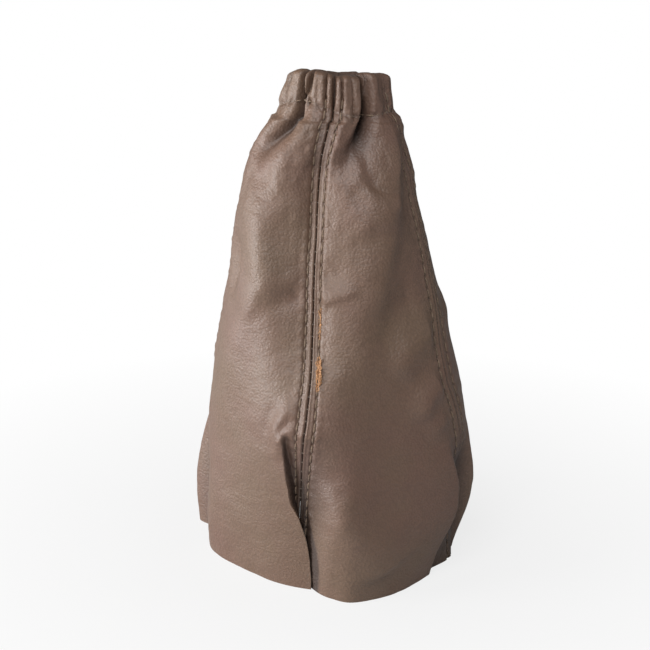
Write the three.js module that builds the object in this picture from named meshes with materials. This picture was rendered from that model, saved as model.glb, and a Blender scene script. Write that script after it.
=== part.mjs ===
// Gear lever gaiter: four leatherette panels sewn edge to edge and gathered on an elastic at the neck.
// Millimetres and degrees, +Z up. Azimuth 0 is the front (-Y) and azimuth 90 the right (+X).
import * as THREE from 'three';
import { mergeVertices } from 'three/addons/utils/BufferGeometryUtils.js';

// Overall form: half widths of the body at its stations, and how square its section is
const height = 220;
const footHalfWidth = 51;
const bellyHalfWidth = 56;
const waistHalfWidth = 48;
const shoulderHalfWidth = 38.6;
const hemHalfWidth = 25.4;
const rimHalfWidth = 22;
const footSquareness = 5;
const neckSquareness = 2;

// Neck hem: depth from the rim to its stitching, the turn over the elastic and the flap inside
const hemDepth = 17;
const hemPinch = 0.7;
const hemPinchWidth = 1.8;
const turnHeight = 2.2;
const flapDepth = 20;
const flapRipple = 0.2;
const rimTilt = 1.8;
const rimTiltAzimuth = 20;
const gatherDepth = 4.6;
const gatherCentre = 0.62;

// Leatherette, its turned seam allowances and the gap that the joining thread bridges
const wall = 1.2;
const allowanceThickness = 1.2;
const seamGap = 1.0;
const clearance = 0.3;

// Threads
const topstitchOffset = 3.6;
const topstitchPitch = 5.1;
const topstitchRadius = 0.36;
const joiningRadius = 0.2;
const joiningStep = 10;
const hemThreadRadius = 0.36;
const frayedRadius = 0.3;

// Elastic
const elasticWidth = 10;
const elasticThickness = 1;
const elasticSlack = 0.5;

// Mesh steps
const interiorColumns = 12;
const normalStep = 1.5;

// A level is 0 at the floor, 1 at the hem's stitching and 2 at the rim.
const hemLine = height - hemDepth;

function levelOf(z) {
  return z <= hemLine ? z / hemLine : 1 + (z - hemLine) / hemDepth;
}

function heightOf(level) {
  return level <= 1 ? level * hemLine : hemLine + (level - 1) * hemDepth;
}

const mix = THREE.MathUtils.lerp;
const radians = THREE.MathUtils.degToRad;

// Half width of the body by level
const profile = [
  [0, footHalfWidth],
  [0.158, bellyHalfWidth],
  [0.374, mix(bellyHalfWidth, waistHalfWidth, 0.44)],
  [0.567, waistHalfWidth],
  [0.754, mix(waistHalfWidth, shoulderHalfWidth, 0.64)],
  [0.847, shoulderHalfWidth],
  [0.921, mix(shoulderHalfWidth, hemHalfWidth, 0.31)],
  [0.97, mix(shoulderHalfWidth, hemHalfWidth, 0.68)],
  [1.02, hemHalfWidth],
  [1.53, mix(hemHalfWidth, rimHalfWidth, 0.69)],
  [2, rimHalfWidth],
];
const squareness = [
  [0, footSquareness],
  [0.2, mix(footSquareness, neckSquareness, 0.27)],
  [0.39, mix(footSquareness, neckSquareness, 0.7)],
  [0.64, mix(footSquareness, neckSquareness, 0.93)],
  [2, neckSquareness],
];

// The body leans a little to one side, most of all at the shoulder.
const lean = [[0, 1.5], [0.2, 1], [0.39, 1], [0.567, 2.2], [0.76, 4.2], [0.92, 4.5], [1.02, 1.4], [1.1, 0.8], [2, 0.8]];
const leanAzimuth = -32;

// Sides of the foot that lie flat: the azimuth that each faces and its distance from the axis
const flats = [
  { azimuth: 21, distance: [[0, 43.5], [0.148, 49], [0.27, 54], [0.39, 62], [0.54, 80], [2, 80]] },
  { azimuth: -32, distance: [[0, 58], [0.3, 58.5], [0.47, 62], [0.6, 80], [2, 80]] },
];
const flatBlend = 2;

// Azimuth of each seam by level. A panel runs from its own seam to the next one, anticlockwise from above.
const seams = [
  { name: 'front_left', azimuth: [[0, -44], [0.22, -46], [0.39, -44], [0.74, -45], [0.96, -41], [2, -37]] },
  {
    name: 'front_right',
    azimuth: [
      [0, 43], [0.1, 38], [0.2, 37.7], [0.29, 41], [0.37, 44.5], [0.47, 47], [0.59, 49],
      [0.74, 51.5], [0.86, 53.5], [0.955, 53.5], [1.3, 55.5], [2, 56],
    ],
  },
  {
    name: 'rear_right',
    azimuth: [
      [0, 138], [0.19, 131], [0.315, 122], [0.48, 119], [0.61, 121], [0.77, 126], [0.92, 127], [1.1, 129], [2, 128],
    ],
  },
  { name: 'rear_left', azimuth: [[0, 227], [0.25, 224], [0.44, 226], [0.74, 223], [0.96, 229], [2, 234]] },
];
const panels = [
  { name: 'front', colour: 0x857468 },
  { name: 'right', colour: 0x7c6b60 },
  { name: 'rear', colour: 0x80705f },
  { name: 'left', colour: 0x897a6c },
];

// Tucks where the seams fold in at the foot. depth is how far in; before and after are the slopes on the
// seam's left and right, flat is the strip beside the seam, and over is how far the slope's shoulder hangs over.
const tuckStrip = topstitchOffset + 1.6;
const fullTuck = 12;
const tucks = [
  {
    depth: [[0, 13], [0.148, 14], [0.3, 10], [0.47, 0], [2, 0]],
    flat: [[0, tuckStrip]], flatAfter: [[0, tuckStrip]], before: [[0, 7]], after: [[0, 8]], overBefore: 2, overAfter: 2,
  },
  {
    depth: [[0, 1], [0.06, 4], [0.138, 9], [0.236, 10], [0.325, 6.5], [0.38, 2.5], [0.424, 0], [2, 0]],
    flat: [[0, tuckStrip], [0.148, tuckStrip], [0.246, 6.6], [0.355, 10], [0.39, 11]], flatAfter: [[0, 3]],
    before: [[0, 2.2], [0.148, 3.2], [0.3, 4], [0.39, 8]], after: [[0, 24]], overBefore: 4.5, overAfter: 0,
  },
  {
    depth: [[0, 9], [0.123, 14], [0.22, 10], [0.305, 3], [0.39, 0], [2, 0]],
    flat: [[0, tuckStrip]], flatAfter: [[0, tuckStrip]], before: [[0, 8]], after: [[0, 6]], overBefore: 3, overAfter: 3,
  },
  {
    depth: [[0, 10], [0.148, 12], [0.27, 8], [0.44, 0], [2, 0]],
    flat: [[0, tuckStrip]], flatAfter: [[0, tuckStrip]], before: [[0, 9]], after: [[0, 7]], overBefore: 2, overAfter: 2,
  },
];

// Valleys of the gather: azimuth, share of the full depth, and how far each runs below the stitching
const valleys = [
  [-27, 0.7, 25], [-8, 0.6, 40], [22.5, 1.1, 42], [33, 0.8, 14], [48, 0.5, 12], [55.5, 0.9, 22], [66, 0.8, 16],
  [83, 1.15, 38], [89.5, 1, 30], [118, 0.6, 20], [139, 0.9, 30], [151, 0.7, 22], [170, 1, 40], [183, 0.6, 20],
  [205, 0.9, 35], [219, 0.6, 16], [236, 0.8, 28], [252, 0.9, 36], [277, 1, 40], [299, 0.7, 24], [316, 0.8, 26],
];
const deepestValley = 1.15;
const highestRidge = gatherDepth * (1 - gatherCentre) * deepestValley;

// Soft folds. A path's points are (mm across from the panel's middle, level); width is for the path's
// left and right side, depth is out of the surface, and fade is the share of the path that each end fades in.
const folds = [
  { panel: 3, width: [15, 15], depth: 10, fade: [0, 0.75], path: [[29, -0.03], [29, 0.2], [27, 0.47]] },
  { panel: 1, width: [13, 13], depth: -5, fade: [0.3, 0], path: [[24, -0.01], [44, -0.01]] },
  {
    panel: 0, width: [9, 9], depth: 2.6, fade: [0.35, 0.35],
    path: [[-8, 0.847], [2, 0.773], [9, 0.714], [2, 0.62], [-12, 0.53], [-22, 0.453]],
  },
  { panel: 0, width: [12, 12], depth: -2.6, fade: [0.35, 0.35], path: [[22, 0.877], [20, 0.788], [23, 0.69], [16, 0.58]] },
  { panel: 0, width: [4, 3.2], depth: -3.8, fade: [0.1, 0.5], path: [[10, 0.99], [4, 0.965], [-5, 0.921], [-10, 0.867]] },
  { panel: 0, width: [5, 5], depth: 2.6, fade: [0.1, 0.5], path: [[15, 1], [12, 0.966], [9, 0.921], [5, 0.872]] },
  {
    panel: 0, width: [2.4, 2.2], depth: 2.4, fade: [0.2, 0.5],
    path: [[39, 0.433], [35, 0.424], [31.5, 0.4], [31.5, 0.36], [33, 0.325]],
  },
  { panel: 1, width: [3.5, 4], depth: -4.2, fade: [0.1, 0.5], path: [[-6, 0.99], [-8, 0.965], [-12, 0.926], [-19, 0.867]] },
  { panel: 1, width: [8, 8], depth: -2.8, fade: [0.3, 0.3], path: [[0, 0.966], [6, 0.906], [7, 0.837]] },
  { panel: 1, width: [8, 8], depth: 2.4, fade: [0.3, 0.3], path: [[-20, 0.803], [-5, 0.833], [14, 0.862], [24, 0.906]] },
  { panel: 1, width: [10, 10], depth: 2, fade: [0.3, 0.3], path: [[2, 0.552], [12, 0.611], [32, 0.67]] },
  { panel: 1, width: [13, 13], depth: 2.4, fade: [0.4, 0], path: [[-28, 0.276], [-17, 0.153], [-5, 0.01]] },
];

// Loose thread lying beside the front right seam: (mm from the seam, height) along its tangle
const frayedPath = [
  [4.8, 119], [5.6, 117], [5, 115], [6.4, 113.4], [7.2, 111.6], [6, 110], [5.2, 108], [6.6, 106.4],
  [7.4, 104.4], [6.2, 103], [5.4, 101.2], [6.4, 99.4], [6, 97.4],
];
const frayedLift = 0.55;
const frayedRings = 30;

// Cubic curve through (level, value) points, flat beyond its ends
function along(points, level) {
  const last = points.length - 1;
  if (last === 0 || level <= points[0][0]) return points[0][1];
  if (level >= points[last][0]) return points[last][1];
  let i = 0;
  while (level > points[i + 1][0]) i += 1;
  const [x0, y0] = points[i];
  const [x1, y1] = points[i + 1];
  const step = x1 - x0;
  const t = (level - x0) / step;
  const m0 = slopeAt(points, i) * step;
  const m1 = slopeAt(points, i + 1) * step;
  const rise = y1 - y0;
  return y0 + t * m0 + t * t * (3 * rise - 2 * m0 - m1) + t * t * t * (m0 + m1 - 2 * rise);
}

function slopeAt(points, i) {
  const a = points[Math.max(i - 1, 0)];
  const b = points[Math.min(i + 1, points.length - 1)];
  return (b[1] - a[1]) / (b[0] - a[0]);
}

function ease(from, to, x) {
  return THREE.MathUtils.smoothstep(x, from, to);
}

// Length of the body's section that one panel covers
function panelWidth(level) {
  return (Math.PI / 2) * along(profile, level);
}

function seamAzimuth(index, level) {
  const turn = index >= seams.length ? 360 : 0;
  return along(seams[index % seams.length].azimuth, level) + turn;
}

// Radial offset of the gathers: arches between the valleys
function gather(azimuth, z) {
  const a = THREE.MathUtils.euclideanModulo(azimuth - valleys[0][0], 360) + valleys[0][0];
  let i = 0;
  while (i < valleys.length - 1 && a >= valleys[i + 1][0]) i += 1;
  const here = valleys[i];
  const next = valleys[(i + 1) % valleys.length];
  const span = THREE.MathUtils.euclideanModulo(next[0] - here[0], 360);
  const t = (a - here[0]) / span;
  const arch = Math.sqrt(Math.max(1 - (2 * t - 1) ** 2, 0));
  const chord = radians(span) * hemHalfWidth;
  const depth = Math.min(chord / 2, gatherDepth) * mix(here[1], next[1], t);
  const reach = mix(here[2], next[2], t);
  const fade = ease(hemLine - reach, hemLine + 3, z) * (1 - 0.15 * ease(hemLine + 6, height, z));
  return depth * (arch - gatherCentre) * fade;
}

function pinch(z) {
  return -hemPinch * Math.exp(-(((z - hemLine) / hemPinchWidth) ** 2));
}

// How far a soft fold lifts the surface at (across, z)
function foldLift(fold, across, z) {
  const points = fold.path.map(([x, level]) => new THREE.Vector2(x, heightOf(Math.max(level, 0)) + Math.min(level, 0) * height));
  const lengths = points.slice(1).map((p, i) => p.distanceTo(points[i]));
  const total = lengths.reduce((sum, length) => sum + length, 0);
  const here = new THREE.Vector2(across, z);
  let nearest = Infinity;
  let lift = 0;
  let run = 0;
  lengths.forEach((length, i) => {
    const direction = points[i + 1].clone().sub(points[i]).divideScalar(length);
    const fromStart = here.clone().sub(points[i]);
    const t = THREE.MathUtils.clamp(fromStart.dot(direction), 0, length);
    const off = fromStart.addScaledVector(direction, -t);
    const distance = off.length();
    if (distance < nearest) {
      nearest = distance;
      const width = direction.cross(off) > 0 ? fold.width[0] : fold.width[1];
      const share = (run + t) / total;
      const fadeIn = fold.fade[0] ? ease(0, fold.fade[0], share) : 1;
      const fadeOut = fold.fade[1] ? ease(0, fold.fade[1], 1 - share) : 1;
      lift = fold.depth * Math.exp(-((distance / width) ** 2)) * fadeIn * fadeOut;
    }
    run += length;
  });
  return lift;
}

// Two radii joined by a small round
function blendMin(a, b) {
  const low = Math.min(a, b);
  return low - flatBlend * Math.log(Math.exp((low - a) / flatBlend) + Math.exp((low - b) / flatBlend));
}

function bodyRadius(share, azimuth, level) {
  const corner = radians(-45 + 90 * share);
  const n = along(squareness, level);
  const round = (Math.abs(Math.sin(corner)) ** n + Math.abs(Math.cos(corner)) ** n) ** (1 / n);
  let radius = along(profile, level) / round;
  for (const flat of flats) {
    const facing = Math.max(Math.cos(radians(azimuth - flat.azimuth)), 0.15);
    radius = blendMin(radius, along(flat.distance, level) / facing);
  }
  return radius;
}

// How far a tuck pulls the surface in at a distance from its seam, and how far it carries it sideways
function tuckOffset(tuck, distance, level, isBefore) {
  const depth = Math.max(along(tuck.depth, level), 0);
  const flat = along(isBefore ? tuck.flat : tuck.flatAfter, level);
  const slope = along(isBefore ? tuck.before : tuck.after, level);
  const inward = depth * (1 - ease(flat, flat + slope, distance));
  const over = isBefore ? tuck.overBefore : -tuck.overAfter;
  const shoulder = Math.exp(-(((distance - flat - 0.95 * slope) / (0.75 * slope)) ** 2));
  return { inward, sideways: over * Math.min(depth / fullTuck, 1) * shoulder };
}

// Centre of the section and the rim's tilt
function place(azimuth, radius, z, off = along(lean, levelOf(z))) {
  const angle = radians(azimuth);
  const tilt = rimTilt * Math.cos(angle - radians(rimTiltAzimuth)) * ease(hemLine - hemDepth, height, z);
  return new THREE.Vector3(
    Math.sin(angle) * radius + Math.sin(radians(leanAzimuth)) * off,
    -Math.cos(angle) * radius - Math.cos(radians(leanAzimuth)) * off,
    z + tilt,
  );
}

// A point of the outer surface in cylindrical terms, at a share of the way across its panel
function surfaceAt(panel, share, z) {
  const level = levelOf(z);
  const width = panelWidth(level);
  const azimuth = mix(seamAzimuth(panel, level), seamAzimuth(panel + 1, level), share);
  const atLeft = tuckOffset(tucks[panel], share * width, level, false);
  const atRight = tuckOffset(tucks[(panel + 1) % tucks.length], (1 - share) * width, level, true);
  let radius = bodyRadius(share, azimuth, level) - atLeft.inward - atRight.inward;
  radius += gather(azimuth, z) + pinch(z);
  for (const fold of folds) {
    if (fold.panel === panel) radius += foldLift(fold, (share - 0.5) * width, z);
  }
  const sideways = THREE.MathUtils.radToDeg((atLeft.sideways + atRight.sideways) / radius);
  return { azimuth: azimuth + sideways, radius };
}

function surface(panel, share, z) {
  const at = surfaceAt(panel, share, z);
  return place(at.azimuth, at.radius, z);
}

function outward(panel, share, z) {
  const step = normalStep / panelWidth(levelOf(z));
  const low = Math.max(z - normalStep, 0);
  const across = surface(panel, share + step, z).sub(surface(panel, share - step, z));
  const up = surface(panel, share, z + normalStep).sub(surface(panel, share, low));
  return across.cross(up).normalize();
}

// Azimuths of a panel's columns at the neck: on each valley, and on the ridges between
function neckColumns(panel) {
  const from = seamAzimuth(panel, 2);
  const to = seamAzimuth(panel + 1, 2);
  const margin = THREE.MathUtils.radToDeg((topstitchOffset + normalStep) / rimHalfWidth);
  const azimuths = [];
  valleys.forEach(([azimuth], i) => {
    const start = azimuth < from ? azimuth + 360 * Math.ceil((from - azimuth) / 360 - 0.5) : azimuth;
    const span = THREE.MathUtils.euclideanModulo(valleys[(i + 1) % valleys.length][0] - azimuth, 360);
    const steps = span >= 10 ? [0, 0.22, 0.78] : [0, 0.5];
    steps.forEach((share) => azimuths.push(start + share * span));
  });
  const kept = azimuths.filter((azimuth) => azimuth > from + margin && azimuth < to - margin);
  kept.sort((a, b) => a - b);
  while (kept.length < interiorColumns) splitWidest(kept, from + margin, to - margin);
  return kept;
}

function splitWidest(values, from, to) {
  const ends = [from, ...values, to];
  let widest = 0;
  ends.slice(1).forEach((value, i) => {
    if (value - ends[i] > ends[widest + 1] - ends[widest]) widest = i;
  });
  values.splice(widest, 0, (ends[widest] + ends[widest + 1]) / 2);
}

// Distances of a panel's first columns from its seam: its edge, the topstitching, and the tuck's slope
const edgeDistances = [seamGap / 2, topstitchOffset, tuckStrip, 8.5, 12.5, 18];

// Share across for each column of a panel at a height: even at the foot, on the gathers at the neck
function columnShares(panel, neck, z) {
  const level = levelOf(z);
  const width = panelWidth(level);
  const from = seamAzimuth(panel, level);
  const span = seamAzimuth(panel + 1, level) - from;
  const count = neck.length + 4;
  const toNeck = ease(0.6, 0.93, level);
  const ends = edgeDistances.map((distance) => distance / width);
  const inner = ends[ends.length - 1];
  const middle = count - 2 * ends.length + 1;
  return Array.from({ length: count }, (_, i) => {
    const fromRight = count - 1 - i;
    let foot = mix(inner, 1 - inner, (i - ends.length + 1) / middle);
    if (i < ends.length) foot = ends[i];
    if (fromRight < ends.length) foot = 1 - ends[fromRight];
    if (i < 2 || fromRight < 2) return foot;
    return mix(foot, (neck[i - 2] - from) / span, toNeck);
  });
}

// Levels of the mesh rows up the outside
const rowLevels = [
  0, 0.035, 0.08, 0.13, 0.18, 0.235, 0.29, 0.335, 0.375, 0.41, 0.45, 0.52, 0.6, 0.68,
  0.745, 0.8, 0.85, 0.895, 0.93, 0.96, 0.985, 1, 1.1, 1.45, 1.8,
];
const turnAngles = [25, 65, 115, 155];
const turnTop = height - turnHeight - wall / 2;
const valleyRadius = rimHalfWidth - gatherCentre * gatherDepth * deepestValley - elasticSlack;
const elasticRadius = valleyRadius - wall - clearance - elasticThickness;
const flapRadius = elasticRadius - clearance - wall / 2;
const flapEnd = height - flapDepth;
const neckLean = along(lean, 2);

// One column of a panel: pairs of points on its outer and inner face, up the wall, over the rim, down the flap
function columnSection(panel, shareAt, isEdge) {
  const pairs = rowLevels.map((level) => {
    const z = heightOf(level);
    const share = shareAt(z);
    const thin = ease(0.9, 0.97, level);
    const thickness = wall + (isEdge ? allowanceThickness * (1 - thin) : 0);
    return wallPair(panel, share, z, thickness);
  });
  const top = surfaceAt(panel, shareAt(turnTop), turnTop);
  const middle = top.radius - wall / 2;
  const inside = flapRadius + flapRipple * (gather(top.azimuth, turnTop) - highestRidge);
  const reach = (middle - inside) / 2;
  const turnPair = (angle) => {
    const sin = Math.sin(radians(angle));
    const cos = Math.cos(radians(angle));
    const at = (off) => place(top.azimuth, middle - reach + (reach + off) * cos, turnTop + (turnHeight + off) * sin);
    return [at(wall / 2), at(-wall / 2)];
  };
  pairs.push([place(top.azimuth, middle + wall / 2, turnTop), place(top.azimuth, middle - wall / 2, turnTop)]);
  turnAngles.forEach((angle) => pairs.push(turnPair(angle)));
  [turnTop, mix(turnTop, flapEnd, 0.5), flapEnd].forEach((z) => {
    pairs.push([inside - wall / 2, inside + wall / 2].map((radius) => place(top.azimuth, radius, z, neckLean)));
  });
  return pairs;
}

// The wall at a point. At the foot its cut edge lies flat on the floor.
function wallPair(panel, share, z, thickness) {
  const outer = surface(panel, share, z);
  const normal = outward(panel, share, z);
  if (z === 0) normal.setZ(0).normalize();
  return [outer, outer.clone().addScaledVector(normal, -thickness)];
}

// A closed body from points and the indices of its triangles
function closedBody(points, triangles) {
  const geometry = new THREE.BufferGeometry();
  geometry.setAttribute('position', new THREE.Float32BufferAttribute(points.flatMap((p) => p.toArray()), 3));
  geometry.setIndex(triangles);
  geometry.computeVertexNormals();
  return geometry;
}

function panelGeometry(panel) {
  const neck = neckColumns(panel);
  const count = neck.length + 4;
  const columns = Array.from({ length: count }, (_, i) => {
    const isEdge = i < 2 || i > count - 3;
    return columnSection(panel, (z) => columnShares(panel, neck, z)[i], isEdge);
  });
  const rows = columns[0].length;
  const points = columns.flatMap((pairs) => pairs.flat());
  const at = (column, row, face) => (column * rows + row) * 2 + face;
  const triangles = [];
  const quad = (a, b, c, d) => triangles.push(a, b, c, a, c, d);
  for (let i = 0; i < count - 1; i += 1) {
    for (let j = 0; j < rows - 1; j += 1) {
      quad(at(i, j, 0), at(i + 1, j, 0), at(i + 1, j + 1, 0), at(i, j + 1, 0));
      quad(at(i, j, 1), at(i, j + 1, 1), at(i + 1, j + 1, 1), at(i + 1, j, 1));
    }
    quad(at(i, 0, 0), at(i, 0, 1), at(i + 1, 0, 1), at(i + 1, 0, 0));
    quad(at(i, rows - 1, 0), at(i + 1, rows - 1, 0), at(i + 1, rows - 1, 1), at(i, rows - 1, 1));
  }
  for (let j = 0; j < rows - 1; j += 1) {
    quad(at(0, j, 0), at(0, j + 1, 0), at(0, j + 1, 1), at(0, j, 1));
    quad(at(count - 1, j, 0), at(count - 1, j, 1), at(count - 1, j + 1, 1), at(count - 1, j + 1, 0));
  }
  return closedBody(points, triangles);
}

// A three-sided thread along a path. Each step holds its centre, the way out of the leather and its radius.
function threadGeometry(steps, isLoop) {
  const sides = 3;
  const points = [];
  const last = steps.length - 1;
  steps.forEach((step, i) => {
    const before = steps[isLoop ? (i + last) % (last + 1) : Math.max(i - 1, 0)].centre;
    const after = steps[isLoop ? (i + 1) % (last + 1) : Math.min(i + 1, last)].centre;
    const forward = after.clone().sub(before).normalize();
    const side = forward.clone().cross(step.out).normalize();
    const out = side.clone().cross(forward);
    for (let k = 0; k < sides; k += 1) {
      const angle = ((k + 0.5) * 2 * Math.PI) / sides;
      const arm = side.clone().multiplyScalar(Math.sin(angle)).addScaledVector(out, -Math.cos(angle));
      points.push(step.centre.clone().addScaledVector(arm, step.radius));
    }
  });
  const triangles = [];
  const rings = isLoop ? last + 1 : last;
  for (let i = 0; i < rings; i += 1) {
    const here = i * sides;
    const next = ((i + 1) % (last + 1)) * sides;
    for (let k = 0; k < sides; k += 1) {
      const l = (k + 1) % sides;
      triangles.push(here + k, next + k, next + l, here + k, next + l, here + l);
    }
  }
  if (!isLoop) triangles.push(0, 1, 2, last * sides, last * sides + 2, last * sides + 1);
  return closedBody(points, triangles);
}

// The line that a row of topstitching follows, straight from one mesh row to the next
function stitchLine(panel, isLeftEdge) {
  const offsetShare = (z) => topstitchOffset / panelWidth(levelOf(z));
  const shareAt = (z) => (isLeftEdge ? offsetShare(z) : 1 - offsetShare(z));
  const heights = rowLevels.filter((level) => level <= 1).map(heightOf);
  return heights.map((z) => ({ z, point: surface(panel, shareAt(z), z), out: outward(panel, shareAt(z), z) }));
}

function pointOnLine(line, z) {
  let i = 0;
  while (i < line.length - 2 && z > line[i + 1].z) i += 1;
  const t = (z - line[i].z) / (line[i + 1].z - line[i].z);
  return { point: line[i].point.clone().lerp(line[i + 1].point, t), out: line[i].out.clone().lerp(line[i + 1].out, t) };
}

// Topstitching: thick in the middle of each stitch and thin where it goes into the leather
function topstitchGeometry(panel, isLeftEdge) {
  const line = stitchLine(panel, isLeftEdge);
  const low = topstitchRadius + clearance;
  const high = hemLine - 2 * (hemThreadRadius + clearance);
  const halves = 2 * Math.round((high - low) / topstitchPitch);
  const steps = Array.from({ length: halves + 1 }, (_, i) => {
    const { point, out } = pointOnLine(line, mix(low, high, i / halves));
    const radius = i % 2 ? topstitchRadius : topstitchRadius / 2;
    return { centre: point.addScaledVector(out.normalize(), clearance + topstitchRadius / 2), out, radius };
  });
  return threadGeometry(steps, false);
}

// The joining thread runs up the middle of a seam, half a wall below the surface.
function joiningGeometry(seam) {
  const panel = seam;
  const low = joiningRadius + clearance;
  const high = hemLine;
  const count = Math.round((high - low) / joiningStep);
  const steps = Array.from({ length: count + 1 }, (_, i) => {
    const z = mix(low, high, i / count);
    const out = outward(panel, seamGap / 2 / panelWidth(levelOf(z)), z);
    return { centre: surface(panel, 0, z).addScaledVector(out, -wall), out, radius: joiningRadius };
  });
  return threadGeometry(steps, false);
}

// The hem's stitching runs round the neck over every gather.
function hemThreadGeometry() {
  const steps = [];
  panels.forEach((_, panel) => {
    columnShares(panel, neckColumns(panel), hemLine).forEach((share) => {
      const out = outward(panel, share, hemLine).setZ(0).normalize();
      const centre = surface(panel, share, hemLine).addScaledVector(out, clearance + hemThreadRadius);
      steps.push({ centre, out, radius: hemThreadRadius });
    });
  });
  return threadGeometry(steps, true);
}

function elasticGeometry() {
  const middle = (hemLine + turnTop) / 2;
  const half = elasticWidth / 2;
  const outer = elasticRadius + elasticThickness;
  const corners = [[elasticRadius, -half], [outer, -half], [outer, half], [elasticRadius, half], [elasticRadius, -half]];
  const profilePoints = corners.map(([x, y]) => new THREE.Vector2(x, y));
  const geometry = new THREE.LatheGeometry(profilePoints, 32);
  geometry.rotateX(Math.PI / 2);
  geometry.deleteAttribute('uv');
  geometry.deleteAttribute('normal');
  const centre = place(0, 0, middle, neckLean);
  geometry.translate(centre.x, centre.y, middle);
  return mergeVertices(geometry, 1e-3);
}

function frayedGeometry() {
  const panel = 1;
  const toSurface = ([distance, z]) => {
    const share = distance / panelWidth(levelOf(z));
    return surface(panel, share, z).addScaledVector(outward(panel, share, z), frayedLift);
  };
  const curve = new THREE.CatmullRomCurve3(frayedPath.map(toSurface));
  const out = outward(panel, edgeDistances[2] / panelWidth(levelOf(frayedPath[0][1])), frayedPath[0][1]);
  const steps = curve.getSpacedPoints(frayedRings).map((centre) => ({ centre, out, radius: frayedRadius }));
  return threadGeometry(steps, false);
}

function material(colour, roughness) {
  return new THREE.MeshStandardMaterial({ color: colour, roughness, metalness: 0 });
}

const gaiter = new THREE.Group();

function add(name, geometry, colour, roughness) {
  const mesh = new THREE.Mesh(geometry, material(colour, roughness));
  mesh.name = name;
  gaiter.add(mesh);
}

const threadColour = 0x8b7560;
panels.forEach(({ name, colour }, panel) => add(`panel_${name}`, panelGeometry(panel), colour, 0.5));
seams.forEach(({ name }, seam) => {
  const before = (seam + panels.length - 1) % panels.length;
  add(`${name}_seam_topstitch_left`, topstitchGeometry(before, false), threadColour, 0.8);
  add(`${name}_seam_topstitch_right`, topstitchGeometry(seam, true), threadColour, 0.8);
  add(`${name}_seam_joining_thread`, joiningGeometry(seam), 0x4b3f38, 0.8);
});
add('neck_hem_stitching', hemThreadGeometry(), threadColour, 0.8);
add('neck_elastic', elasticGeometry(), 0x2a2725, 0.9);
add('frayed_thread', frayedGeometry(), 0xb0713c, 0.8);

// The footprint's box is centred on the origin, with the cut edge on the floor.
const box = new THREE.Box3().setFromObject(gaiter);
const centre = box.getCenter(new THREE.Vector3());
gaiter.position.set(-centre.x, -centre.y, 0);

export default gaiter;
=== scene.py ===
import bpy
import math
import numpy as np
from mathutils import Matrix, Vector


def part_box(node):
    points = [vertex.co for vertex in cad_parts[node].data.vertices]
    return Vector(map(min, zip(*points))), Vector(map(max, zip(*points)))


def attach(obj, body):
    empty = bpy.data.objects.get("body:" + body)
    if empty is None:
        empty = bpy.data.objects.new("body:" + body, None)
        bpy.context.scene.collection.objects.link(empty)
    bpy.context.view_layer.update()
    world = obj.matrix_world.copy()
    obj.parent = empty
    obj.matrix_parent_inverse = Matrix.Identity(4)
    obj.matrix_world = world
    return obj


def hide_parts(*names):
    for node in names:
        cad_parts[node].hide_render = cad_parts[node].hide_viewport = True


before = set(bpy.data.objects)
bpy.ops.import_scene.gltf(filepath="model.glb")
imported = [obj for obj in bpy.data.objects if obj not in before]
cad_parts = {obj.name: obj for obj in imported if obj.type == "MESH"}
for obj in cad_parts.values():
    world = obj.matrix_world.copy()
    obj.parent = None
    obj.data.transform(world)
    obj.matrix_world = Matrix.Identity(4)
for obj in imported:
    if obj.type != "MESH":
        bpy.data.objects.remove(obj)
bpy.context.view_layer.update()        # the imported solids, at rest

mm = 0.001

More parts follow.
